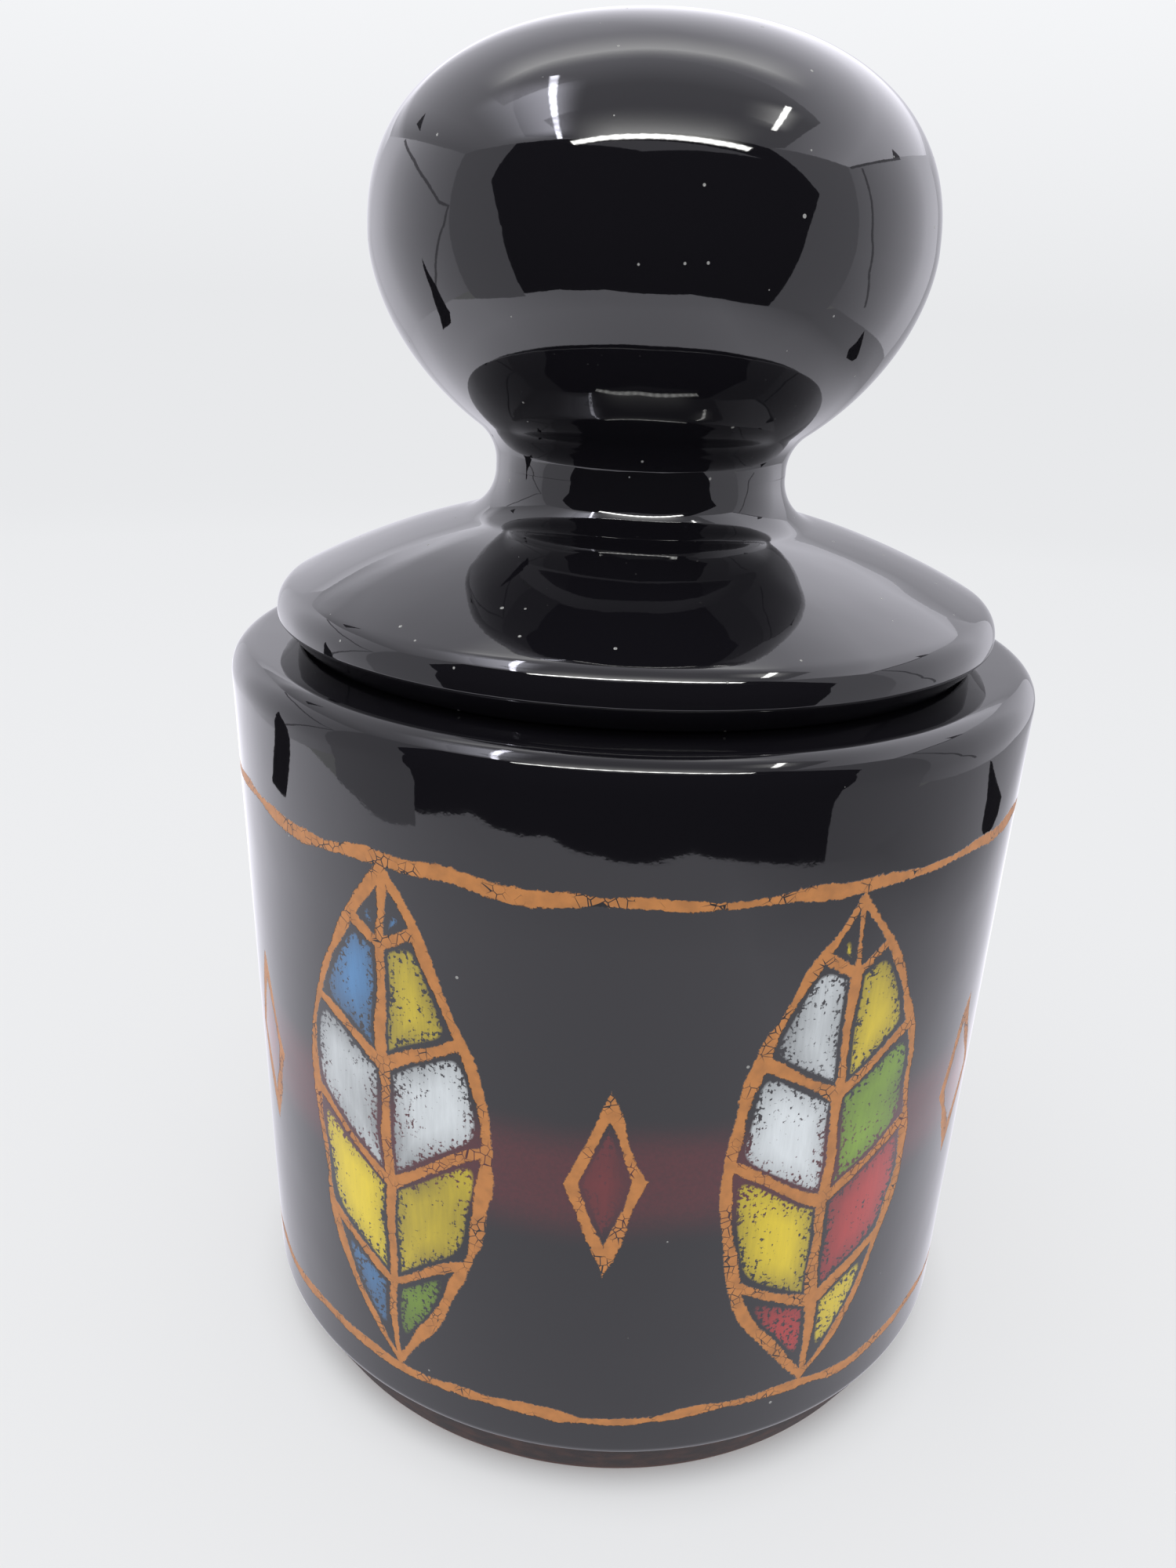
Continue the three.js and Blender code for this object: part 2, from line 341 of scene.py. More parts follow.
def belly_tangent(knob):
    """The belly's angle at which the flare is tangent to both the belly and the neck"""
    low, high = 0.05, math.pi / 2
    for _ in range(50):
        middle = (low + high) / 2
        if flare_centre(knob, middle).r > knob.neck_radius + knob.flare:
            high = middle
        else:
            low = middle
    return (low + high) / 2


def knob_outline(box):
    """Half section of the hollow ball knob, from its crown down to the neck and back inside"""
    knob = box.knob
    m = measures(box)
    steps = box.fineness.curve_steps
    right = math.pi / 2
    touch = belly_tangent(knob)
    centre = flare_centre(knob, touch)
    middle = m.joint + (knob.luting_gap + knob.neck_length) / 2 - centre.z

    def quarter(radius, height, power, start, end, count):
        angles = [start + (end - start) * i / count for i in range(count + 1)]
        points = [ball_point(radius, height, power, a) for a in angles]
        return [Corner(p.r, p.z + middle) for p in points]

    crown = quarter(knob.radius, knob.crown, knob.crown_power, 0.0, right, steps)
    belly = quarter(knob.radius, -knob.belly, knob.belly_power, right, touch, steps)
    start = math.atan2(belly[-1].z - middle - centre.z, belly[-1].r - centre.r)
    flare = arc(centre.r, middle + centre.z, knob.flare, start, math.pi, steps // 3)
    hollow = knob.radius - knob.wall
    bore = math.asin((m.bore / hollow) ** (knob.belly_power / 2))
    inner_steps = steps // 2
    lower = quarter(hollow, knob.wall - knob.belly, knob.belly_power, bore, right, inner_steps)
    upper = quarter(hollow, knob.crown - knob.wall, knob.crown_power, right, 0.0, inner_steps)
    return [
        *crown,
        *belly[1:],
        *flare[1:],
        Corner(knob.neck_radius, m.joint),
        Corner(m.bore, m.joint),
        *lower,
        *upper[1:],
    ]


def corner_reach(before, corner, after):
    """How far a corner's round reaches along the edges on both sides of it"""
    back = Vector((before.r - corner.r, before.z - corner.z))
    ahead = Vector((after.r - corner.r, after.z - corner.z))
    return corner.round / math.tan(back.angle(ahead) / 2)


def select_point(piece, corner):
    """In edit mode, selects only the outline's vertex that is nearest to a corner"""
    bpy.ops.mesh.select_all(action="DESELECT")
    mesh = bmesh.from_edit_mesh(piece.data)
    place = Vector((corner.r, 0.0, corner.z))
    nearest = min(mesh.verts, key=lambda v: (v.co - place).length)
    nearest.select_set(True)
    mesh.select_flush_mode()
    bmesh.update_edit_mesh(piece.data)


def split_long_edges(piece, spacing):
    """In edit mode, divides the long straight edges of the outline into even steps"""

    def cuts(edge):
        return math.ceil(edge.calc_length() / spacing) - 1

    bpy.ops.mesh.select_mode(type="EDGE")
    mesh = bmesh.from_edit_mesh(piece.data)
    for number in sorted({cuts(edge) for edge in mesh.edges} - {0}, reverse=True):
        bpy.ops.mesh.select_all(action="DESELECT")
        mesh = bmesh.from_edit_mesh(piece.data)
        for edge in mesh.edges:
            if cuts(edge) == number:
                edge.select_set(True)
        bmesh.update_edit_mesh(piece.data)
        bpy.ops.mesh.subdivide(number_cuts=number)


def turn_piece(name, outline, fineness):
    """Draws an outline as extruded points, rounds its corners and spins it about the axis"""
    first = outline[0]
    closes = all(corner.r > 0 for corner in outline)
    bpy.ops.object.select_all(action="DESELECT")
    bpy.ops.mesh.primitive_plane_add(size=MM, location=(first.r, 0.0, first.z))
    piece = bpy.context.object
    piece.name = piece.data.name = name
    bpy.ops.object.transform_apply(location=True)
    bpy.ops.object.mode_set(mode="EDIT")
    bpy.ops.mesh.select_mode(type="VERT")
    bpy.ops.mesh.select_all(action="SELECT")
    bpy.ops.mesh.merge(type="CENTER")
    for here, ahead in zip(outline, outline[1:]):
        step = (ahead.r - here.r, 0.0, ahead.z - here.z)
        bpy.ops.mesh.extrude_vertices_move(TRANSFORM_OT_translate={"value": step})
    if closes:
        mesh = bmesh.from_edit_mesh(piece.data)
        for vertex in mesh.verts:
            vertex.select_set(len(vertex.link_edges) == 1)
        bmesh.update_edit_mesh(piece.data)
        bpy.ops.mesh.edge_face_add()
    for i, corner in enumerate(outline):
        if corner.round > 0:
            select_point(piece, corner)
            reach = corner_reach(outline[i - 1], corner, outline[(i + 1) % len(outline)])
            bpy.ops.mesh.bevel(offset=reach, segments=fineness.corner_steps, profile=0.5, affect="VERTICES")
    split_long_edges(piece, fineness.spacing)
    bpy.ops.mesh.select_all(action="SELECT")
    bpy.ops.mesh.spin(steps=fineness.sides, angle=2 * math.pi, center=(0, 0, 0), axis=(0, 0, 1))
    bpy.ops.mesh.select_all(action="SELECT")
    bpy.ops.mesh.remove_doubles(threshold=MM / 1000)
    bpy.ops.mesh.normals_make_consistent(inside=False)
    bpy.ops.object.mode_set(mode="OBJECT")
    return piece


def run_glaze(piece, depth, size):
    """Presses the slow waves of a run glaze into the mesh, and shades it smooth"""
    clouds = bpy.data.textures.new(piece.name + "_waves", "CLOUDS")
    clouds.noise_scale = size
    clouds.noise_depth = 1
    waves = piece.modifiers.new("glaze waves", "DISPLACE")
    waves.texture = clouds
    waves.texture_coords = "LOCAL"
    waves.strength = depth
    bpy.ops.object.modifier_apply(modifier=waves.name)
    bpy.ops.object.shade_smooth_by_angle(angle=math.radians(35))


def add(tree, kind, inputs=(), stops=(), **settings):
    """One node with its settings. Inputs go by name or in order, and each gets a value, a socket or
    another node's first output. A Map Range's order is the value, the two numbers that it maps
    from and the two that it maps to."""
    node = tree.nodes.new("ShaderNode" + kind)
    for name, value in settings.items():
        setattr(node, name, value)
    for name, value in inputs.items() if isinstance(inputs, dict) else enumerate(inputs):
        if isinstance(value, bpy.types.Node):
            value = value.outputs[0]
        if isinstance(value, bpy.types.NodeSocket):
            tree.links.new(value, node.inputs[name])
        else:
            node.inputs[name].default_value = value
    for i, (place, code) in enumerate(stops):
        while len(node.color_ramp.elements) <= i:
            node.color_ramp.elements.new(1.0)
        node.color_ramp.elements[i].position = place
        node.color_ramp.elements[i].color = (*linear(code), 1.0)
    return node


def new_material(name):
    """An empty node material and its tree"""
    material = bpy.data.materials.new(name)
    material.use_nodes = True
    material.node_tree.nodes.clear()
    return material, material.node_tree


def rgba(value):
    """A colour property as the four numbers that a socket takes"""
    return (*value, 1.0)


def in_millimetres(tree):
    """Object coordinates in millimetres"""
    place = add(tree, "TexCoord")
    return add(tree, "Mapping", {"Vector": place.outputs["Object"], "Scale": (1 / MM,) * 3})


def gloss(tree, millimetres, index, base, roughness, relief):
    """The fired gloss: a fine orange peel and the relief of what lies under it"""
    # Orange peel of a fired glaze is 3 to 6 mm across and about a hundredth of a millimetre high.
    peel = add(tree, "TexNoise", {"Vector": millimetres, "Scale": 1 / 5.0, "Detail": 1.0})
    # Grain of 0.5 mm, which breaks up the edge of a bright highlight.
    grain = add(tree, "TexNoise", {"Vector": millimetres, "Scale": 1 / 0.5, "Detail": 1.0})
    bump = add(tree, "Bump", {"Height": peel, "Distance": 0.012 * MM})
    bump = add(tree, "Bump", {"Height": grain, "Distance": 0.001 * MM, "Normal": bump})
    bump = add(tree, "Bump", {"Height": relief, "Distance": 0.12 * MM, "Normal": bump})
    shader = add(tree, "BsdfPrincipled", {
        "Base Color": base, "Roughness": roughness, "IOR": index, "Normal": bump})
    add(tree, "OutputMaterial", {"Surface": shader})


def specks(tree, millimetres, pitch, radius, share):
    """Sparse round specks: 1 inside a speck, 0 elsewhere; sizes in millimetres"""
    cells = add(tree, "TexVoronoi", {"Vector": millimetres, "Scale": 1 / pitch})
    pick = add(tree, "SeparateColor", {"Color": cells.outputs["Color"]})
    chosen = add(tree, "Math", [pick.outputs["Red"], share], operation="LESS_THAN")
    size = add(tree, "Math", [pick.outputs["Green"], radius / pitch], operation="MULTIPLY")
    near = add(tree, "Math", [cells.outputs["Distance"], size], operation="LESS_THAN")
    return add(tree, "Math", [chosen, near], operation="MULTIPLY")


def black_glaze(glaze):
    """Gloss black lead glaze, poured: a deep mirror with slow waves, pinholes and grey specks of dust and
    painted glints
    """
    material, tree = new_material("black_glaze")
    millimetres = in_millimetres(tree)
    # Grey specks stand for dust and, in part, for painted glints of light.
    dust = specks(tree, millimetres, pitch=2.4, radius=0.24, share=0.5)
    pinholes = specks(tree, millimetres, pitch=9.0, radius=0.5, share=0.3)
    base = add(tree, "Mix", {0: dust, 6: rgba(glaze.black), 7: rgba(glaze.dust)}, data_type="RGBA")
    roughness = add(tree, "MapRange", {"Value": dust, "To Min": glaze.roughness, "To Max": 0.6})
    relief = add(tree, "Math", [0.0, pinholes], operation="SUBTRACT")
    gloss(tree, millimetres, glaze.index, base.outputs[2], roughness, relief)
    return material


def wiped_clay(glaze):
    """Fired red clay with the glaze sponged off: matt, stained nearly black, redder where it wears"""
    material, tree = new_material("wiped_clay")
    millimetres = in_millimetres(tree)
    # Stain lies in clouds of about 3 mm; the clay's grit is 0.25 mm.
    clouds = add(tree, "TexNoise", {"Vector": millimetres, "Scale": 1 / 3.0, "Detail": 4.0})
    grit = add(tree, "TexNoise", {"Vector": millimetres, "Scale": 1 / 0.25})
    # The lowest 1.6 mm rubs on the table and wears bare.
    height = add(tree, "SeparateXYZ", [millimetres]).outputs["Z"]
    low = add(tree, "MapRange", [height, 1.6, 0.2, 0.0, 0.8])
    wear = add(tree, "MapRange", [clouds, 0.42, 0.75, 0.0, 0.45])
    bare = add(tree, "Math", [low, wear], operation="MAXIMUM")
    base = add(tree, "Mix", {0: bare, 6: rgba(glaze.stain), 7: rgba(glaze.clay)}, data_type="RGBA")
    bump = add(tree, "Bump", {"Height": grit, "Distance": 0.05 * MM})
    shader = add(tree, "BsdfPrincipled", {
        "Base Color": base.outputs[2], "Roughness": 0.8, "IOR": 1.4, "Normal": bump})
    add(tree, "OutputMaterial", {"Surface": shader})
    return material


def painted_glaze(glaze, frieze, body):
    """Black gloss with thick enamels in cells between matt terracotta lines, and a soft sprayed
    maroon under the gloss: the lines stay dull where the wall mirrors the room"""
    material, tree = new_material("painted_glaze")
    millimetres = in_millimetres(tree)
    size = {name: getattr(frieze, name) / MM for name in (
        "middle", "leaf_width", "leaf_height", "vein_pitch", "lozenge_width", "lozenge_height",
        "line_width", "belt")}
    radius = body.radius / MM
    half_line = size["line_width"] / 2

    # A hand-held tool wanders by about a millimetre over every 18 mm.
    wander = add(tree, "TexNoise", {"Vector": millimetres, "Scale": 1 / 18.0, "Detail": 1.0})
    drift = add(tree, "VectorMath", [wander.outputs["Color"], (0.5,) * 3], operation="SUBTRACT")
    drawn = add(tree, "VectorMath", [drift, (4.0,) * 3, millimetres], operation="MULTIPLY_ADD")
    axes = add(tree, "SeparateXYZ", [drawn])
    to_front = add(tree, "Math", [axes.outputs["Y"], -1.0], operation="MULTIPLY")
    angle = add(tree, "Math", [axes.outputs["X"], to_front], operation="ARCTAN2")

    # Leaves: which one, and millimetres from its middle.
    pitch = 2 * math.pi * radius / frieze.leaves
    turns = add(tree, "Math", [angle, frieze.leaves / (2 * math.pi), 0.5 + frieze.turn],
                operation="MULTIPLY_ADD")
    leaf = add(tree, "Math", [turns], operation="FLOOR")
    leaf = add(tree, "Math", [leaf, float(frieze.leaves)], operation="FLOORED_MODULO")
    across = add(tree, "Math", [turns], operation="FRACT")
    across = add(tree, "Math", [across, pitch, -pitch / 2], operation="MULTIPLY_ADD")
    side = add(tree, "Math", [across], operation="ABSOLUTE")
    up = add(tree, "Math", [axes.outputs["Z"], size["middle"]], operation="SUBTRACT")
    off_middle = add(tree, "Math", [up], operation="ABSOLUTE")

    # A leaf is what two equal circles share: negative inside, zero on its edge.
    half_w, half_h = size["leaf_width"] / 2, size["leaf_height"] / 2
    circle = (half_h ** 2 + half_w ** 2) / (2 * half_w)
    spread = add(tree, "Math", [side, circle - half_w], operation="ADD")
    spread_squared = add(tree, "Math", [spread, spread], operation="MULTIPLY")
    edge = add(tree, "Math", [up, up, spread_squared], operation="MULTIPLY_ADD")
    edge = add(tree, "Math", [edge], operation="SQRT")
    edge = add(tree, "Math", [edge, circle], operation="SUBTRACT")

    # Veins rise from the midrib to both sides.
    slope = 0.62
    climb = add(tree, "Math", [side, -slope, up], operation="MULTIPLY_ADD")
    veins = add(tree, "Math", [climb, 1 / size["vein_pitch"], 0.4], operation="MULTIPLY_ADD")
    vein = add(tree, "Math", [veins], operation="FRACT")
    vein = add(tree, "Math", [vein, 0.5], operation="SUBTRACT")
    vein = add(tree, "Math", [vein], operation="ABSOLUTE")
    vein_scale = size["vein_pitch"] / math.sqrt(1 + slope ** 2)
    vein = add(tree, "Math", [vein, -vein_scale, vein_scale / 2], operation="MULTIPLY_ADD")
    inner = add(tree, "Math", [side, vein], operation="MINIMUM")

    # A lozenge stands between two leaves.
    loz_w, loz_h = size["lozenge_width"] / 2, size["lozenge_height"] / 2
    gap = add(tree, "Math", [pitch / 2, side], operation="SUBTRACT")
    share_up = add(tree, "Math", [off_middle, 1 / loz_h], operation="MULTIPLY")
    share = add(tree, "Math", [gap, 1 / loz_w, share_up], operation="MULTIPLY_ADD")
    loz_scale = loz_w * loz_h / math.hypot(loz_w, loz_h)
    lozenge = add(tree, "Math", [share, loz_scale, -loz_scale], operation="MULTIPLY_ADD")

    # Lines run round the leaves, up their veins and round the lozenges, and two rings close the
    # frieze above and below.
    inside = add(tree, "Math", [inner, edge], operation="MAXIMUM")
    ring = add(tree, "Math", [off_middle, half_h + size["line_width"]], operation="SUBTRACT")
    line_distance = inside
    for outline in (edge, lozenge, ring):
        off_outline = add(tree, "Math", [outline], operation="ABSOLUTE")
        line_distance = add(tree, "Math", [line_distance, off_outline], operation="MINIMUM")

    # The line swells and thins by a third, and its edge is ragged by about 0.3 mm.
    swell = add(tree, "TexNoise", {"Vector": millimetres, "Scale": 1 / 6.0, "Detail": 0.0})
    ragged = add(tree, "TexNoise", {
        "Vector": millimetres, "Scale": 1 / 0.7, "Detail": 3.0, "Roughness": 0.7})
    reach = add(tree, "Math", [swell, half_line - 0.95], operation="ADD")
    reach = add(tree, "Math", [ragged, 0.9, reach], operation="MULTIPLY_ADD")
    line_edge = add(tree, "Math", [reach, line_distance], operation="SUBTRACT")
    line = add(tree, "MapRange", [line_edge, -0.06, 0.06])

    # Only the outside of the wall is painted.
    flat = add(tree, "VectorMath", [millimetres, (1.0, 1.0, 0.0)], operation="MULTIPLY")
    from_axis = add(tree, "VectorMath", [flat], operation="LENGTH").outputs["Value"]
    inside_wall = radius - (body.draft + body.wall / 2) / MM
    outside = add(tree, "Math", [from_axis, inside_wall], operation="GREATER_THAN")
    line = add(tree, "Math", [line, outside], operation="MULTIPLY")

    # Hairline cracks cross the line where the clay shrank, in stretches about 4 mm long.
    cracks = add(tree, "TexVoronoi", {"Vector": millimetres, "Scale": 1 / 1.1}, feature="DISTANCE_TO_EDGE")
    opened = add(tree, "TexNoise", {"Vector": millimetres, "Scale": 1 / 4.0, "Detail": 1.0})
    opened = add(tree, "MapRange", [opened, 0.5, 0.64, 0.0, 0.045])
    crack = add(tree, "Math", [cracks, opened], operation="GREATER_THAN")
    drawn_line = add(tree, "Math", [line, crack], operation="MULTIPLY")
    shade = add(tree, "TexNoise", {"Vector": millimetres, "Scale": 1 / 1.6, "Detail": 3.0})
    shade = add(tree, "MapRange", [shade, 0.3, 0.6])
    line_dark = [value * 0.78 for value in glaze.line]
    line_colour = add(tree, "Mix", {0: shade, 6: rgba(line_dark), 7: rgba(glaze.line)}, data_type="RGBA")

    # Room: millimetres from the lines round a cell, with the cell's corners rounded off.
    leaf_room = add(tree, "Math", [edge, -1.0], operation="MULTIPLY")
    leaf_room = add(tree, "Math", [inner, leaf_room, 3.5], operation="SMOOTH_MIN")
    lozenge_room = add(tree, "Math", [lozenge, -1.0], operation="MULTIPLY")
    room = add(tree, "Math", [leaf_room, lozenge_room], operation="MAXIMUM")

    # Enamel stops 0.5 mm short of the line. Dark pits crowd near its border and in a few clusters,
    # and a dry brush leaves upright streaks.
    hold = add(tree, "MapRange", [room, half_line + 0.45, half_line + 0.75])
    pits = add(tree, "TexNoise", {"Vector": millimetres, "Scale": 1 / 0.55, "Roughness": 0.6})
    clusters = add(tree, "TexNoise", {"Vector": millimetres, "Scale": 1 / 7.0, "Detail": 1.0})
    clusters = add(tree, "MapRange", [clusters, 0.45, 0.75, 0.0, 0.16])
    border = add(tree, "MapRange", [room, half_line + 0.5, half_line + 2.8, 0.22, 0.0])
    crowd = add(tree, "Math", [border, clusters], operation="MAXIMUM")
    upright = add(tree, "Mapping", {"Vector": millimetres, "Scale": (1.0, 1.0, 1 / 9.0)})
    streaks = add(tree, "TexNoise", {"Vector": upright, "Scale": 1 / 0.5, "Detail": 3.0, "Roughness": 0.7})
    worn = add(tree, "Math", [streaks, 0.35, crowd], operation="MULTIPLY_ADD")
    worn = add(tree, "Math", [worn, pits], operation="ADD")
    whole = add(tree, "MapRange", [worn, 0.86, 0.94, 1.0, 0.0])
    cover = add(tree, "Math", [whole, hold], operation="MULTIPLY")
    cover = add(tree, "Math", [cover, outside], operation="MULTIPLY")

    # Each cell of a leaf draws its own enamel.
    right = add(tree, "Math", [across, 0.0], operation="GREATER_THAN")
    row = add(tree, "Math", [veins], operation="FLOOR")
    cell = add(tree, "CombineXYZ", [leaf, row, right])
    draw = add(tree, "TexWhiteNoise", {"Vector": cell}, noise_dimensions="3D")
    enamel = add(tree, "ValToRGB", {"Fac": draw.outputs["Value"]}, stops=[
        (0.0, "F2D600"), (0.28, "4A90CC"), (0.48, "0D0D0F"), (0.56, "E6ECEF"),
        (0.68, "86AE12"), (0.80, "7A1E20"), (0.90, "C7302A")])
    enamel.color_ramp.interpolation = "CONSTANT"
    in_lozenge = add(tree, "Math", [lozenge, 0.0], operation="LESS_THAN")
    enamel = add(tree, "Mix", {0: in_lozenge, 6: enamel, 7: (*linear("7A1E20"), 1.0)}, data_type="RGBA")
    # It pools thick and bright in the middle and is thinner, so darker, to one side.
    rim_shade = add(tree, "MapRange", [room, half_line + 0.5, half_line + 3.5, 0.3, 0.0])
    side_shade = add(tree, "MapRange", [wander, 0.4, 0.7, 0.0, 0.45])
    thin = add(tree, "Math", [rim_shade, side_shade], operation="ADD")
    thin = add(tree, "Math", [streaks, 0.25, thin], operation="MULTIPLY_ADD")
    enamel = add(tree, "Mix", {0: thin, 6: enamel.outputs[2], 7: rgba(glaze.black)}, data_type="RGBA")

    # The maroon belt is sprayed through a loose mask, so its edges fade over about 7 mm.
    half_belt = size["belt"] / 2
    belt = add(tree, "MapRange", [off_middle, half_belt, half_belt - 7.0], interpolation_type="SMOOTHSTEP")
    spray = add(tree, "MapRange", [pits, 0.3, 0.7, 0.7, 1.0])
    belt = add(tree, "Math", [belt, spray], operation="MULTIPLY")
    belt = add(tree, "Math", [belt, outside], operation="MULTIPLY")

    # Grey specks stand for dust and, in part, for painted glints of light.
    dust = specks(tree, millimetres, pitch=3.6, radius=0.24, share=0.35)
    base = rgba(glaze.black)
    for share, coat in ((belt, rgba(glaze.maroon)), (cover, enamel.outputs[2]),
                        (dust, rgba(glaze.dust)), (drawn_line, line_colour.outputs[2])):
        base = add(tree, "Mix", {0: share, 6: base, 7: coat}, data_type="RGBA").outputs[2]
    roughness = add(tree, "MapRange", [line, 0.0, 1.0, glaze.roughness, 0.5])
    relief = add(tree, "Math", [drawn_line, -1.0], operation="MULTIPLY")
    gloss(tree, millimetres, glaze.clear_index, base, roughness, relief)
    return material


def made_once(maker, glaze):
    """A material that several pieces share"""
    return bpy.data.materials.get(maker.__name__) or maker(glaze)


def dress(piece, glazed, bare, bare_below, body, node):
    """Gives a piece its glaze, and bare clay below a height, ties it to its body and hides the node's
    imported part
    """
    piece.data.materials.clear()
    piece.data.materials.append(glazed)
    if bare:
        piece.data.materials.append(bare)
        for face in piece.data.polygons:
            face.material_index = int(face.center.z < bare_below)
    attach(piece, body)
    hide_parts(node)


class CANDYBOX_OT_body(bpy.types.Operator):
    """Turn the box body, paint its frieze and wipe its foot bare"""
    bl_idname = "candybox.body"
    bl_label = "Box Body"

    def execute(self, context):
        box = context.scene.candy_box
        piece = turn_piece("painted_box_body", body_outline(box), box.fineness)
        run_glaze(piece, box.glaze.wall_waves, box.glaze.wave_length)
        painted = painted_glaze(box.glaze, box.frieze, box.body)
        bare_below = box.body.bevel_height - box.body.wall_edge_round / 3
        dress(piece, painted, made_once(wiped_clay, box.glaze), bare_below, "box", "box_body")
        return {"FINISHED"}


class CANDYBOX_OT_lid(bpy.types.Operator):
    """Turn the domed lid with its neck, lip and flange, and wipe the flange's rim bare"""
    bl_idname = "candybox.lid"
    bl_label = "Lid"

    def execute(self, context):
        box = context.scene.candy_box
        piece = turn_piece("glazed_lid", lid_outline(box), box.fineness)
        run_glaze(piece, box.glaze.lid_waves, box.glaze.wave_length)
        rim = measures(box).seat_height - box.lid.flange_depth + box.lid.flange_round
        black = made_once(black_glaze, box.glaze)
        dress(piece, black, made_once(wiped_clay, box.glaze), rim, "lid", "lid")
        return {"FINISHED"}


class CANDYBOX_OT_knob(bpy.types.Operator):
    """Turn the hollow ball knob"""
    bl_idname = "candybox.knob"
    bl_label = "Ball Knob"

    def execute(self, context):
        box = context.scene.candy_box
        piece = turn_piece("glazed_ball_knob", knob_outline(box), box.fineness)
        run_glaze(piece, box.glaze.knob_waves, box.glaze.wave_length)
        dress(piece, made_once(black_glaze, box.glaze), None, 0.0, "lid", "knob")
        return {"FINISHED"}


def mirror_only(thing):
    """Stage cloth that the glaze mirrors, and that neither the camera nor the soft light sees"""
    thing.visible_camera = False
    thing.visible_diffuse = False
    thing.visible_shadow = False
    thing.visible_transmission = False


def card(name, corners, glow, *fades):
    """A cloth of the light tent; corners in millimetres, glow is its brightness in the mirror.
    Each fade gives a direction, or FROM_ORIGIN for the distance from the origin, two places along
    it in millimetres, and the share of the brightness at the second one, over 1 where it grows."""
    bpy.ops.object.select_all(action="DESELECT")
    bpy.ops.mesh.primitive_circle_add(vertices=len(corners), radius=1.0, fill_type="NGON")
    sheet = bpy.context.object
    sheet.name = sheet.data.name = name
    for vertex, corner in zip(sheet.data.vertices, corners):
        vertex.co = [value * MM for value in corner]
    material, tree = new_material(name + "_cloth")
    millimetres = in_millimetres(tree)
    for direction, start, end, share in fades:
        if direction == FROM_ORIGIN:
            along = add(tree, "VectorMath", [millimetres], operation="LENGTH")
        else:
            along = add(tree, "VectorMath", [millimetres, direction], operation="DOT_PRODUCT")
        left = add(tree, "MapRange", [along.outputs["Value"], start, end, 1.0, share])
        glow = add(tree, "Math", [glow, left], operation="MULTIPLY")
    cloth = add(tree, "Emission", {"Color": CLOTH_TINT, "Strength": glow})
    add(tree, "OutputMaterial", {"Surface": cloth})
    sheet.data.materials.append(material)
    mirror_only(sheet)


def level(height, *places):
    """Corners of a cloth that lies at one height"""
    return [(x, y, height) for x, y in places]


def seam(name, side, run, width=6.0, glow=0.4):
    """A sewn edge of a side wall at x = side, a thin dark line through places (y, z), in millimetres"""
    places = [Vector(place) for place in run]
    steps = [b - a for a, b in zip(places[:1] + places, places[1:] + places[-1:])]
    aside = [Vector((-step.y, step.x)).normalized() * width / 2 for step in steps]
    outer = [place + off for place, off in zip(places, aside)]
    inner = [place - off for place, off in zip(places, aside)]
    card(name, [(side, *place) for place in outer + inner[::-1]], glow)


def glow_strip(name, start, end, left, right, halo_glow, tint, lamp_width=0.0, lamp_glow=0.0):
    """A strip under the tent's ceiling: a glow on the cloth that fades out over the distances left
    and right of the line from start to end, and a row of small lamps on that line if lamp_glow is
    over 0. Places, distances and the row's width in millimetres."""
    run = Vector((end[0] - start[0], end[1] - start[1]))
    middle = [(a + b) / 2 * MM for a, b in zip(start, end)]
    width = 2 * max(left, right)
    bpy.ops.object.select_all(action="DESELECT")
    bpy.ops.mesh.primitive_plane_add(size=1.0, location=(*middle, LAMP_HEIGHT * MM),
                                     rotation=(0.0, 0.0, math.atan2(run.y, run.x)))
    strip = bpy.context.object
    strip.name = strip.data.name = name
    strip.scale = (run.length * MM, width * MM, 1.0)
    material, tree = new_material(name + "_glow")

    # The strip's own coordinates run from -0.5 to 0.5 along and across it.
    place = add(tree, "SeparateXYZ", [add(tree, "TexCoord").outputs["Object"]])
    aside, along = place.outputs["Y"], place.outputs["X"]
    off_left = add(tree, "Math", [aside, width / left], operation="MULTIPLY")
    off_right = add(tree, "Math", [aside, -width / right], operation="MULTIPLY")
    off = add(tree, "Math", [off_left, off_right], operation="MAXIMUM")
    halo = add(tree, "MapRange", [off, 1.0, 0.0])
    halo = add(tree, "Math", [halo, 2.0], operation="POWER")
    from_middle = add(tree, "Math", [along], operation="ABSOLUTE")
    full = 0.5 - min(0.3, left / run.length)
    ends = add(tree, "MapRange", [from_middle, 0.5, full], interpolation_type="SMOOTHSTEP")
    soft = add(tree, "Math", [halo, ends], operation="MULTIPLY")
    soft = add(tree, "Math", [soft, halo_glow], operation="MULTIPLY")
    half_row = lamp_width / 2 / width
    off_row = add(tree, "Math", [aside], operation="ABSOLUTE")
    row = add(tree, "MapRange", [off_row, half_row, half_row / 2])
    beads = add(tree, "Math", [along, 2 * run.length / LAMP_PITCH], operation="MULTIPLY")
    beads = add(tree, "Math", [beads, 1.0], operation="PINGPONG")
    bright = add(tree, "MapRange", [beads, 0.0, 1.0, lamp_glow / 2, lamp_glow])
    strength = add(tree, "Math", [row, bright, soft], operation="MULTIPLY_ADD")
    glow = add(tree, "Emission", {"Color": (*tint, 1.0), "Strength": strength})
    both = add(tree, "AddShader", [glow, add(tree, "BsdfTransparent")])
    add(tree, "OutputMaterial", {"Surface": both})
    strip.data.materials.append(material)
    mirror_only(strip)


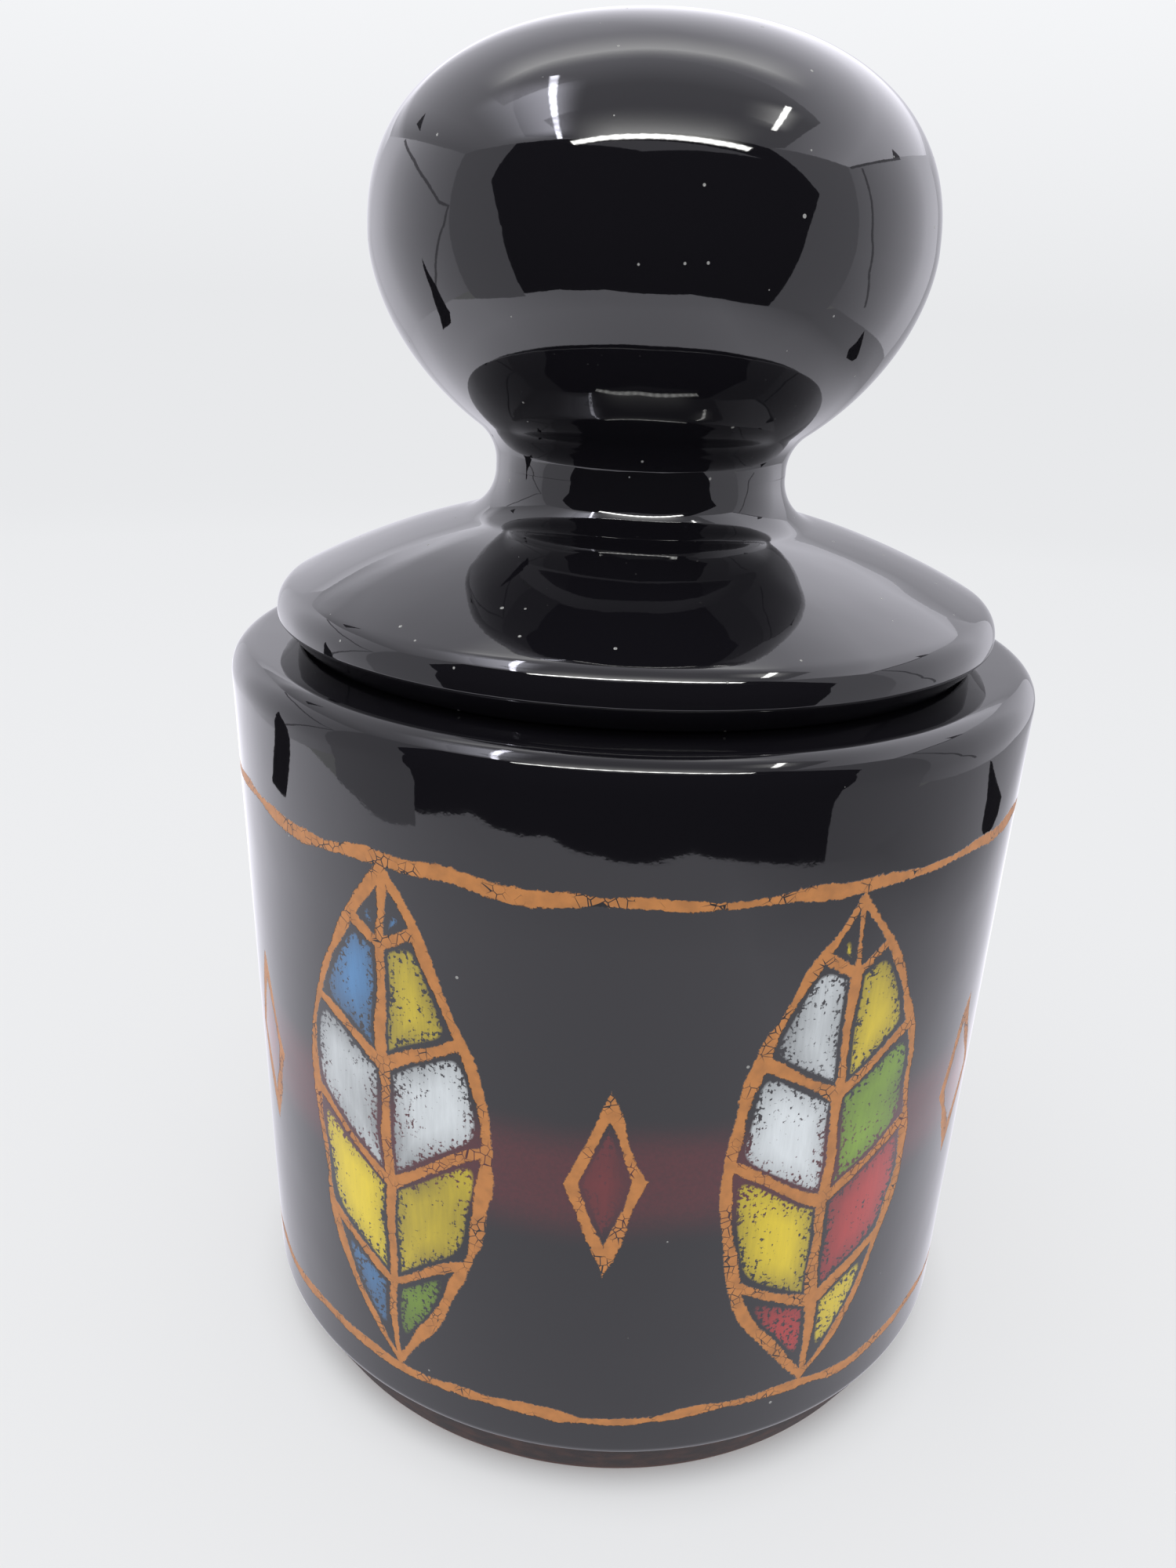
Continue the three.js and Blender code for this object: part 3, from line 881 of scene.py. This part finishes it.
def lay_floor(look):
    """A round pale table top that glows like the tent's cloth, is shaded only close round the foot
    and fades into the background"""
    bpy.ops.object.select_all(action="DESELECT")
    bpy.ops.mesh.primitive_circle_add(vertices=96, radius=FLOOR_RADIUS * MM, fill_type="NGON")
    floor = bpy.context.object
    floor.name = floor.data.name = "studio_floor"
    material, tree = new_material("pale_paper")
    distance = add(tree, "VectorMath", [in_millimetres(tree)], operation="LENGTH").outputs["Value"]
    near = add(tree, "MapRange", [distance, *FOOT_SHADE])
    far = add(tree, "MapRange", [distance, *FLOOR_FADE], interpolation_type="SMOOTHSTEP")
    fade = add(tree, "Math", [near, far], operation="MAXIMUM")
    paper = add(tree, "BsdfDiffuse", {"Color": (0.92, 0.92, 0.92, 1.0)})
    glow = add(tree, "Emission", {"Color": rgba(look.pale), "Strength": look.sky})
    both = add(tree, "MixShader", [fade, paper, glow])
    add(tree, "OutputMaterial", {"Surface": both})
    floor.data.materials.append(material)


def hang_tent():
    """Cloth walls, floor and ceiling of a light tent, folded back in front round a dark opening, with
    its seams, gaps and zip slits, and its lamps under the ceiling. Places in millimetres."""
    side, back, top, fold = TENT_SIDE, TENT_BACK, TENT_TOP, TENT_FOLD
    under_top, before_wall = top - 1, side - 0.5
    deep = (ALONG_Y, 230, 400, 0.75)
    card("tent_left", [(-side, fold, 0), (-side, back, 0), (-side, back, top), (-side, fold, top)],
         0.75, (ALONG_Y, -120, 200, 2.05), deep)
    card("tent_right", [(side, fold, 0), (side, back, 0), (side, back, top), (side, fold, top)],
         0.85, (ALONG_Y, -90, 210, 1.85), (ALONG_Z, 120, 20, 0.85), deep)
    card("tent_back", [(-side, back, 0), (side, back, 0), (side, back, top), (-side, back, top)],
         1.0, (ALONG_X, -220, 60, 0.72), (ALONG_Z, 150, 250, 1.2), (ALONG_Z, 265, 300, 1.4))
    # The floor cloth glows dimmer near the box and to its right: a painted shadow of the box, as the glaze
    # mirrors the floor; it also dims towards the front and the back.
    card("tent_floor", level(
        FLOOR_CLOTH, (-side, back), (side, back), (side, -40), (180, -150), (120, -200), (70, -230),
        (-75, -235), (-155, -205), (-205, -150), (-260, -60), (-side, 0)),
        1.02, (FROM_ORIGIN, 66, 185, 1.52), (ALONG_Y, -60, -200, 0.72), (ALONG_X, 100, 220, 0.45), deep)
    card("tent_left_flap", [
        (-side, fold, 0), (-260, fold, 0), (-190, -150, 0), (-205, -150, 155), (-275, -150, 245),
        (-190, -125, top), (-side, fold, top)], 0.63)
    card("tent_right_flap", [
        (side, fold, 0), (250, fold, 0), (180, -150, 0), (220, -150, 165), (280, -150, 240),
        (145, -145, top), (side, fold, top)], 0.7)
    card("tent_ceiling", level(
        top, (-side, fold), (-190, -125), (-95, -165), (145, -145), (side, fold), (side, back),
        (-side, back)),
        1.0, (TO_BACK_RIGHT, 45, 190, 2.0), (TO_BACK_LEFT, 340, 400, 1.5), (ALONG_X, -200, -280, 0.75),
        (ALONG_Y, 350, 400, 0.85))
    card("tent_ceiling_flap", level(
        under_top, (-95, 6), (0, -4), (75, -15), (147, -33), (162, -128), (145, -145), (-95, -165),
        (-162, -116), (-129, -45)), 0.57, (ALONG_Y, -50, 0, 1.7))
    card("tent_drape", [(-100, -184, top), (-17, -184, 271), (160, -184, top)], 0.5)
    card("room_front", [(-1000, -400, -5), (1000, -400, -5), (1000, -400, 1000), (-1000, -400, 1000)],
         ROOM_GLOW)
    card("room_floor", level(
        FLOOR_CLOTH / 2, (-1000, -150), (1000, -150), (1000, -1000), (-1000, -1000)), ROOM_GLOW)
    card("corner_gap_left", level(under_top, (-208, 128), (-243, 152), (-262, 122)), 0.1)
    card("corner_gap_right", level(under_top, (262, 100), (298, 135), (298, 100)), 0.25)
    seam("seam_left", -before_wall, [
        (200, 297), (93, 261), (16, 222), (-29, 194), (-56, 190), (-44, 159), (-19, 104), (9, 59), (36, 29)])
    seam("seam_right_top", before_wall, [(133, 297), (19, 297), (-55, 296)])
    seam("seam_right", before_wall, [(-22, 290), (-22, 171), (-5, 90), (40, 30)])
    left_slit = [(22, 107), (15, 60), (22, 15), (40, 0), (77, 0), (55, 20), (33, 60)]
    card("slit_left", [(-SLIT_SIDE, y, z) for y, z in left_slit], ROOM_GLOW)
    card("slit_right", level(
        2 * FLOOR_CLOTH, (295, 96), (252, 87), (228, 75), (213, 86), (218, 118), (229, 130), (266, 109)),
        ROOM_GLOW)
    white, cool = (1.0, 1.0, 0.97), (0.95, 0.95, 1.08)
    glow_strip("lamps_front", (-112, -172), (124, -164), left=80, right=8, halo_glow=3.5,
               tint=white, lamp_width=18.0, lamp_glow=26.0)
    glow_strip("lamps_left", (-68, -12), (-121, -149), left=30, right=110, halo_glow=4.0,
               tint=cool, lamp_width=9.0, lamp_glow=24.0)
    glow_strip("lamps_right", (102, -37), (118, -97), left=25, right=45, halo_glow=2.5,
               tint=white, lamp_width=9.0, lamp_glow=30.0)
    glow_strip("ceiling_glow", (-130, 21), (105, 13), left=50, right=24, halo_glow=1.6, tint=white)


def light_room(look):
    """Even pale light all round, a little brighter overhead, and a large soft lamp above the front"""
    world = bpy.data.worlds.new("pale_room")
    bpy.context.scene.world = world
    world.use_nodes = True
    tree = world.node_tree
    tree.nodes.clear()
    direction = add(tree, "SeparateXYZ", [add(tree, "TexCoord").outputs["Generated"]])
    overhead = look.sky * 1.13
    rise = add(tree, "MapRange", [direction.outputs["Z"], 0.0, 0.2, look.sky, overhead])
    sky = add(tree, "Background", {"Color": rgba(look.pale), "Strength": rise})
    add(tree, "OutputWorld", {"Surface": sky})
    bpy.ops.object.light_add(type="AREA", location=SOFT_LAMP_PLACE)
    lamp = bpy.context.object
    lamp.name = "soft_lamp"
    lamp.data.shape = "RECTANGLE"
    lamp.data.size, lamp.data.size_y = SOFT_LAMP_SIZE
    lamp.data.energy = look.lamp_energy
    lamp.rotation_euler = (Vector(SOFT_LAMP_AIM) - lamp.location).to_track_quat("-Z", "Y").to_euler()
    lamp.visible_glossy = False


def set_camera(look):
    """The camera where the photograph was taken from"""
    bpy.ops.object.camera_add(location=(0.0, -look.distance, look.height))
    camera = bpy.context.object
    turn = Matrix.Rotation(-look.yaw, 3, "Z")
    tilt = Matrix.Rotation(math.pi / 2 - look.pitch, 3, "X")
    roll = Matrix.Rotation(look.roll, 3, "Z")
    camera.rotation_euler = (turn @ tilt @ roll).to_euler()
    camera.data.sensor_width = SENSOR
    camera.data.lens = look.focal * SENSOR / IMAGE_HEIGHT
    camera.data.clip_start = 0.01
    bpy.context.scene.camera = camera


class CANDYBOX_OT_stage(bpy.types.Operator):
    """Lay the pale floor, hang the light tent and set the camera"""
    bl_idname = "candybox.stage"
    bl_label = "Stage"

    def execute(self, context):
        look = context.scene.candy_box.stage
        set_camera(look)
        lay_floor(look)
        hang_tent()
        light_room(look)
        context.scene.view_settings.view_transform = "Standard"
        return {"FINISHED"}


class CANDYBOX_PT_panel(bpy.types.Panel):
    """Buttons and sizes of the candy box"""
    bl_idname = "CANDYBOX_PT_panel"
    bl_label = "Candy Box"
    bl_space_type = "VIEW_3D"
    bl_region_type = "UI"
    bl_category = "Candy Box"

    def draw(self, context):
        box = context.scene.candy_box
        for operator in (CANDYBOX_OT_body, CANDYBOX_OT_lid, CANDYBOX_OT_knob, CANDYBOX_OT_stage):
            self.layout.operator(operator.bl_idname)
        for group in (box.body, box.lid, box.knob, box.fineness, box.glaze, box.frieze, box.stage):
            column = self.layout.column(align=True)
            for name in group.bl_rna.properties.keys():
                if name not in ("rna_type", "name"):
                    column.prop(group, name)


CLASSES = (
    BoxSizes, LidSizes, KnobSizes, Fineness, GlazeLook, FriezeLook, StageLook, CandyBox,
    CANDYBOX_OT_body, CANDYBOX_OT_lid, CANDYBOX_OT_knob, CANDYBOX_OT_stage, CANDYBOX_PT_panel,
)


def register():
    """Registers the classes and hangs the settings on the scene"""
    for cls in CLASSES:
        bpy.utils.register_class(cls)
    bpy.types.Scene.candy_box = PointerProperty(type=CandyBox)


def unregister():
    """Takes the settings and the classes away again"""
    del bpy.types.Scene.candy_box
    for cls in reversed(CLASSES):
        bpy.utils.unregister_class(cls)


def main():
    """Builds the candy box and its stage"""
    register()
    bpy.ops.candybox.stage()
    bpy.ops.candybox.body()
    bpy.ops.candybox.lid()
    bpy.ops.candybox.knob()


if __name__ == "__main__":
    main()
